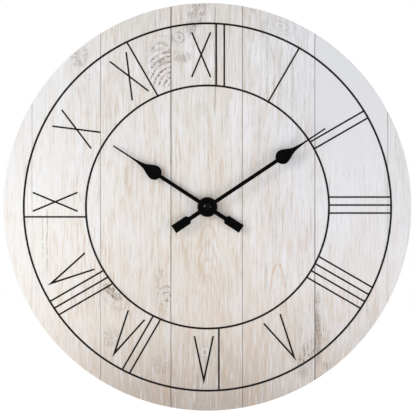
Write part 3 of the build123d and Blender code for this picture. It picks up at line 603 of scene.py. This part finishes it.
# How close together the tool marks are along X, Y and Z.
TURNED_LINES = (400.0, 400.0, 60.0)
DRAWN_LINES = (60.0, 400.0, 60.0)
STAMPED_LINES = (80.0, 400.0, 300.0)
WIRE_LINES = (900.0, 40.0, 40.0)
EVEN_LINES = (300.0, 300.0, 300.0)


def worked_metal(name, dark, light, roughness, lines=TURNED_LINES, depth=0.15):
    """Turned, drawn or stamped metal: fine lines that are closer together along some axes than others."""
    material, w, shader = surface(name)
    place = w.node("ShaderNodeTexCoord").outputs["Object"]
    scaled = w.node("ShaderNodeVectorMath", {0: place, 1: lines}, operation="MULTIPLY")
    marks = w.noise(scaled.outputs[0], 10.0, 3.0, 0.6)
    tone = w.noise(place, 120.0, 3.0, 0.6)
    w.feed(shader.inputs["Base Color"], w.mix(w.fade(tone, 0.3, 0.7), linear(*dark), linear(*light)))
    w.feed(shader.inputs["Roughness"], w.fade(marks, 0.3, 0.7, roughness - 0.08, roughness + 0.08))
    w.feed(shader.inputs["Normal"], w.bump(marks, depth, 0.00005))
    shader.inputs["Metallic"].default_value = 1.0
    return material


FINISHES = {
    "print": printed_planks(),
    "ink": printed_ink(),
    "board": fibreboard(),
    "hands": moulded("black_lacquer", (3, 3, 3), (7, 6, 6), 0.40, grain=1.2, depth=0.06, gloss=0.08),
    "cap": moulded("black_lacquer_bright", (2, 2, 2), (5, 5, 5), 0.14, grain=1.2, depth=0.01, gloss=0.22),
    "case": moulded("case_plastic", (24, 24, 26), (36, 36, 38), 0.50, dusty=0.35),
    "knob": moulded("knob_plastic", (196, 192, 182), (214, 210, 200), 0.42, depth=0.15),
    "bushing": worked_metal("turned_brass", (186, 142, 66), (214, 172, 92), 0.30),
    "gasket": moulded("gasket_rubber", (18, 18, 18), (30, 30, 30), 0.75, depth=0.4, gloss=0.2),
    "wheel": moulded("wheel_acetal", (226, 221, 208), (240, 236, 225), 0.35, depth=0.1),
    "arbor": worked_metal("drawn_steel", (150, 150, 152), (182, 182, 184), 0.28, DRAWN_LINES),
    "plate": moulded("plate_plastic", (58, 58, 60), (72, 72, 74), 0.45, depth=0.2),
    "screw": worked_metal("plated_screw", (156, 157, 160), (190, 191, 194), 0.30),
    "stator": worked_metal("stamped_iron", (118, 118, 120), (150, 150, 152), 0.42, STAMPED_LINES),
    "bobbin": moulded("bobbin_nylon", (214, 210, 190), (228, 224, 206), 0.45, depth=0.15),
    "winding": worked_metal("copper_wire", (164, 72, 34), (206, 108, 58), 0.30, WIRE_LINES, depth=0.6),
    "circuit": moulded("circuit_laminate", (128, 92, 40), (150, 112, 54), 0.55, depth=0.2),
    "chip": moulded("potting_resin", (8, 8, 8), (16, 16, 17), 0.22, depth=0.1, gloss=0.5),
    "crystal": worked_metal("plated_can", (176, 177, 180), (206, 207, 210), 0.22),
    "magnet": worked_metal("sintered_magnet", (58, 58, 60), (80, 80, 82), 0.5, EVEN_LINES),
    "contact": worked_metal("nickel_strip", (176, 172, 162), (206, 202, 192), 0.30),
    "cell": worked_metal("nickel_can", (184, 182, 176), (208, 206, 200), 0.26),
    "sleeve": moulded("battery_sleeve", (22, 34, 54), (30, 44, 66), 0.30, depth=0.05, gloss=0.5),
}
SLOT_OF = {part["node"]: part["material_slot"] for part in frame["record"]["subparts"]}
for node, piece in NODES.items():
    piece.data.materials.clear()
    piece.data.materials.append(FINISHES[SLOT_OF[node]])


# ------------------------------------------------------------------ pieces of our own
def add_piece(name, mesh, body, slot, stands_for=()):
    """Puts a finished mesh on a body of the clock, in its material, in place of CAD nodes it stands for."""
    mesh.name = name
    mesh.materials.clear()
    mesh.materials.append(FINISHES[slot])
    piece = bpy.data.objects.new(name, mesh)
    bpy.context.collection.objects.link(piece)
    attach(piece, body)
    if stands_for:
        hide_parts(*stands_for)
    return piece


def new_mesh(build):
    """A mesh from a function that fills a bmesh, with its normals facing outwards."""
    shape = bmesh.new()
    build(shape)
    bmesh.ops.remove_doubles(shape, verts=shape.verts, dist=1e-7)
    bmesh.ops.recalc_face_normals(shape, faces=shape.faces)
    mesh = bpy.data.meshes.new("shape")
    shape.to_mesh(mesh)
    shape.free()
    return mesh


def smooth_below(mesh, angle):
    """Smooth shading, except across edges that turn more than the angle in degrees."""
    shape = bmesh.new()
    shape.from_mesh(mesh)
    for face in shape.faces:
        face.smooth = True
    for edge in shape.edges:
        edge.smooth = len(edge.link_faces) == 2 and edge.calc_face_angle(0.0) < math.radians(angle)
    shape.to_mesh(mesh)
    shape.free()


def eased_copy(node, width, steps=2, sharp=40.0):
    """A copy of a CAD node's mesh with its sharp edges rounded over, in millimetres."""
    shape = bmesh.new()
    shape.from_mesh(NODES[node].data)
    bmesh.ops.remove_doubles(shape, verts=shape.verts, dist=1e-6)
    flat = math.radians(0.4)
    bmesh.ops.dissolve_limit(shape, angle_limit=flat, verts=shape.verts, edges=shape.edges)
    joined = [edge for edge in shape.edges if len(edge.link_faces) == 2]
    corners = [edge for edge in joined if edge.calc_face_angle(0.0) > math.radians(sharp)]
    bmesh.ops.bevel(
        shape,
        geom=corners,
        offset=width * MM,
        offset_type="OFFSET",
        segments=steps,
        profile=0.5,
        affect="EDGES",
        clamp_overlap=True,
    )
    bmesh.ops.triangulate(shape, faces=[f for f in shape.faces if len(f.verts) > 4])
    mesh = bpy.data.meshes.new(node)
    shape.to_mesh(mesh)
    shape.free()
    smooth_below(mesh, 38.0)
    return mesh


def lathe(profile, steps):
    """Turns a profile of (radius, height) in millimetres round the hands' axis; radius 0 closes a pole."""

    def build(shape):
        rings = []
        for radius, height in profile:
            if radius == 0:
                rings.append([shape.verts.new((0, -height * MM, 0))] * steps)
                continue
            turns = [math.tau * step / steps for step in range(steps)]
            spots = [(radius * MM * math.sin(t), -height * MM, radius * MM * math.cos(t)) for t in turns]
            rings.append([shape.verts.new(spot) for spot in spots])
        for low, high in zip(rings, rings[1:]):
            for step in range(steps):
                after = (step + 1) % steps
                corners = dict.fromkeys((low[step], low[after], high[after], high[step]))
                shape.faces.new(list(corners))

    return new_mesh(build)


def bevelled_block(x, h, z, ease):
    """A block between two places on each axis in millimetres, with every edge eased."""

    def build(shape):
        bmesh.ops.create_cube(shape, size=1.0)
        for vert in shape.verts:
            low_high = [(x[0], x[1]), (-h[0], -h[1]), (z[0], z[1])]
            vert.co = Vector([(a + b) / 2 + side * (b - a) for (a, b), side in zip(low_high, vert.co)]) * MM
        bmesh.ops.bevel(shape, geom=shape.edges[:], offset=ease * MM, segments=2, profile=0.5, affect="EDGES")

    mesh = new_mesh(build)
    smooth_below(mesh, 50.0)
    return mesh


def build_row():
    """Geometry nodes: repeats the mesh in a straight row, realizes it and gives it its material."""
    tree = bpy.data.node_groups.new("row", "GeometryNodeTree")
    kinds = {"Geometry": "Geometry", "Count": "Int", "Step": "Vector", "Material": "Material"}
    sockets = {
        label: tree.interface.new_socket(label, in_out="INPUT", socket_type=f"NodeSocket{kind}")
        for label, kind in kinds.items()
    }
    tree.interface.new_socket("Geometry", in_out="OUTPUT", socket_type="NodeSocketGeometry")
    w = Wires(tree)
    given = w.node("NodeGroupInput").outputs
    line = w.node("GeometryNodeMeshLine", {"Count": given["Count"], "Offset": given["Step"]})
    copied = {"Points": line.outputs[0], "Instance": given["Geometry"]}
    repeated = w.node("GeometryNodeInstanceOnPoints", copied)
    real = w.node("GeometryNodeRealizeInstances", {"Geometry": repeated.outputs[0]})
    painted = w.node("GeometryNodeSetMaterial", {"Geometry": real.outputs[0], "Material": given["Material"]})
    w.node("NodeGroupOutput", {"Geometry": painted.outputs[0]})
    return tree, {label: socket.identifier for label, socket in sockets.items()}


ROW, ROW_INPUTS = build_row()


def row_of(mesh, count, step, slot):
    """The mesh repeated count times, a step in millimetres apart, as one plain mesh."""
    carrier = bpy.data.objects.new("carrier", mesh)
    bpy.context.collection.objects.link(carrier)
    modifier = carrier.modifiers.new("row", "NODES")
    modifier.node_group = ROW
    modifier[ROW_INPUTS["Count"]] = count
    modifier[ROW_INPUTS["Step"]] = [part * MM for part in step]
    modifier[ROW_INPUTS["Material"]] = FINISHES[slot]
    seen = carrier.evaluated_get(bpy.context.evaluated_depsgraph_get())
    whole = bpy.data.meshes.new_from_object(seen)
    carrier.modifiers.clear()
    bpy.data.objects.remove(carrier)
    return whole


# The hands are stamped, so their edges are eased a little; the minute hand's boss is turned.
for node, body, width in (
    ("minute_hand", "minute", 0.16),
    ("hour_hand", "hour", 0.16),
    ("minute_hand_bush", "minute", 0.10),
):
    add_piece(f"{node}_eased", eased_copy(node, width), body, "hands", (node,))

# The cap nut has a shallow dome over a short straight skirt.
CAP_FOOT = 33.1
CAP_TOP = 36.0
CAP_R = 4.7
DOME_R = 7.6
DOME_STEPS = 9
CAP_EDGE = 0.25
CAP_BORE = 1.5
CAP_BORE_TOP = 34.8
CAP_STEPS = 64
dome = []
for step in range(DOME_STEPS + 1):
    radius = (CAP_R - CAP_EDGE) * step / DOME_STEPS
    dome.append((radius, CAP_TOP - DOME_R + math.sqrt(DOME_R**2 - radius**2)))
skirt_top = dome[-1][1] - CAP_EDGE
skirt = [(CAP_R - 0.07, skirt_top + 0.17), (CAP_R, skirt_top), (CAP_R, CAP_FOOT)]
cap_bore = [(CAP_BORE, CAP_FOOT), (CAP_BORE, CAP_BORE_TOP), (0, CAP_BORE_TOP)]
cap_mesh = lathe(dome + skirt + cap_bore, CAP_STEPS)
smooth_below(cap_mesh, 40.0)
add_piece("domed_cap_nut", cap_mesh, "minute", "cap", ("cap_nut",))

# Grip ribs down both sides of the movement case, and the snap latches that hold its halves together.
CASE_SIDE = 28.0
RIB_H = (1.8, 9.4)
RIB_FIRST = (-7.4, -6.5)
RIB_PITCH = 1.9
RIBS = 13
RIB_PROUD = 0.45
LATCH_FIRST = (-22.5, -16.5)
LATCH_H = (8.0, 14.2)
LATCH_PITCH = 39.0
LATCH_PROUD = 0.7
SUNK = 0.3
for side, label in ((-1, "left"), (1, "right")):
    proud = sorted((side * (CASE_SIDE - SUNK), side * (CASE_SIDE + RIB_PROUD)))
    rib = bevelled_block(proud, RIB_H, RIB_FIRST, 0.15)
    add_piece(f"grip_ribs_{label}", row_of(rib, RIBS, (0, 0, RIB_PITCH), "case"), "frame", "case")
LATCHES = {"top": (27.0, 1), "foot": (-29.0, -1)}
for label, (edge, side) in LATCHES.items():
    proud = sorted((edge - side * SUNK, edge + side * LATCH_PROUD))
    latch = bevelled_block(LATCH_FIRST, LATCH_H, proud, 0.2)
    add_piece(f"snap_latches_{label}", row_of(latch, 2, (LATCH_PITCH, 0, 0), "case"), "frame", "case")

# The coil is wound turn by turn.
COIL_AT = (6.7, 20.8)
COIL_R = 3.8
WIRE_R = 0.14
COIL_START = -0.2
COIL_END = 21.0
WINDING_DEEP = 1.6
TURN_STEPS = 28


def one_turn():
    """One turn of wire round the bobbin, thick enough inwards to stand for the layers below it."""
    inner, shoulder = COIL_R - WINDING_DEEP, COIL_R - WIRE_R
    rim = [(inner, -WIRE_R), (shoulder, -WIRE_R), (COIL_R, 0.0), (shoulder, WIRE_R), (inner, WIRE_R)]

    def build(shape):
        loops = []
        for step in range(TURN_STEPS):
            turn = math.tau * step / TURN_STEPS
            spots = [
                (COIL_START + WIRE_R + x, -COIL_AT[0] + r * math.sin(turn), COIL_AT[1] + r * math.cos(turn))
                for r, x in rim
            ]
            loops.append([shape.verts.new(Vector(spot) * MM) for spot in spots])
        for step in range(TURN_STEPS):
            near, far = loops[step], loops[(step + 1) % TURN_STEPS]
            for corner in range(len(rim)):
                after = (corner + 1) % len(rim)
                shape.faces.new((near[corner], near[after], far[after], far[corner]))

    return new_mesh(build)


turns = int((COIL_END - COIL_START) / (2 * WIRE_R))
winding = row_of(one_turn(), turns, (2 * WIRE_R, 0, 0), "winding")
smooth_below(winding, 60.0)
add_piece("coil_turns", winding, "frame", "winding", ("coil_winding",))


# ------------------------------------------------------------------ stage, light and camera
# Softboxes: place, size and power. One stands high on the left, the other low on the right.
SOFTBOXES = {
    "left_softbox": ((-2.0, -1.2, 0.7), (0.6, 1.3), 23.0),
    "right_softbox": ((2.0, -1.2, -0.5), (0.6, 1.3), 20.0),
}
FLOOR_DROP = 0.06
FLOOR_HALF = 6.0
FLOOR_GLOW = 0.62
STUDIO_GLOW = 0.41
WHITE = (1.0, 1.0, 1.0, 1.0)


def softbox(name, place, size, power):
    """A rectangular light that faces the axis of the hands."""
    data = bpy.data.lights.new(name, "AREA")
    data.shape = "RECTANGLE"
    data.size, data.size_y = size
    data.energy = power
    lamp = bpy.data.objects.new(name, data)
    lamp.location = place
    lamp.rotation_euler = (-Vector(place)).to_track_quat("-Z", "Y").to_euler()
    bpy.context.collection.objects.link(lamp)


def pale_floor(level, half):
    """A bright floor. What shines in the clock sees it as a dull one."""
    mesh = bpy.data.meshes.new("floor")
    corners = [(-half, -half, level), (half, -half, level), (half, half, level), (-half, half, level)]
    mesh.from_pydata(corners, [], [(0, 1, 2, 3)])
    floor = bpy.data.objects.new("floor", mesh)
    bpy.context.collection.objects.link(floor)
    material, w, shader = surface("pale_floor")
    shader.inputs["Base Color"].default_value = (0.9, 0.9, 0.9, 1.0)
    shader.inputs["Roughness"].default_value = 0.9
    shader.inputs["Emission Color"].default_value = WHITE
    shader.inputs["Emission Strength"].default_value = FLOOR_GLOW
    dull = w.node("ShaderNodeBsdfDiffuse", {"Color": (0.4, 0.4, 0.4, 1.0)})
    glossy_ray = w.node("ShaderNodeLightPath").outputs["Is Glossy Ray"]
    shown = w.node("ShaderNodeMixShader", {0: glossy_ray, 1: shader.outputs[0], 2: dull.outputs[0]})
    output = next(node for node in material.node_tree.nodes if node.type == "OUTPUT_MATERIAL")
    w.feed(output.inputs["Surface"], shown.outputs[0])
    mesh.materials.append(material)


def soft_world():
    """White behind the clock, and a softer, even light on it."""
    world = bpy.data.worlds.new("studio")
    bpy.context.scene.world = world
    world.use_nodes = True
    world.node_tree.nodes.clear()
    w = Wires(world.node_tree)
    seen = w.node("ShaderNodeBackground", {"Color": WHITE, "Strength": 1.0})
    glow = w.node("ShaderNodeBackground", {"Color": WHITE, "Strength": STUDIO_GLOW})
    camera_ray = w.node("ShaderNodeLightPath").outputs["Is Camera Ray"]
    both = w.node("ShaderNodeMixShader", {0: camera_ray, 1: glow.outputs[0], 2: seen.outputs[0]})
    w.node("ShaderNodeOutputWorld", {"Surface": both.outputs[0]})


# The camera stands square in front of the dial. VIEW_HEIGHT is how much of the print's plane it takes in.
VIEW_HEIGHT = 0.510
CAMERA_BACK = 3.2
CAMERA_X = 0.0007
CAMERA_Z = -0.0012
SENSOR = 36.0

camera_data = bpy.data.cameras.new("camera")
camera_data.sensor_width = SENSOR
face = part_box("dial_print")[0].y
camera_data.lens = SENSOR * (CAMERA_BACK + face) / VIEW_HEIGHT
camera = bpy.data.objects.new("camera", camera_data)
camera.location = (CAMERA_X, -CAMERA_BACK, CAMERA_Z)
camera.rotation_euler = (math.pi / 2, 0.0, 0.0)
bpy.context.collection.objects.link(camera)
scene = bpy.context.scene
scene.camera = camera
scene.view_settings.view_transform = "Standard"

soft_world()
pale_floor(cad_box[0].z - FLOOR_DROP, FLOOR_HALF)
for name, (place, size, power) in SOFTBOXES.items():
    softbox(name, place, size, power)
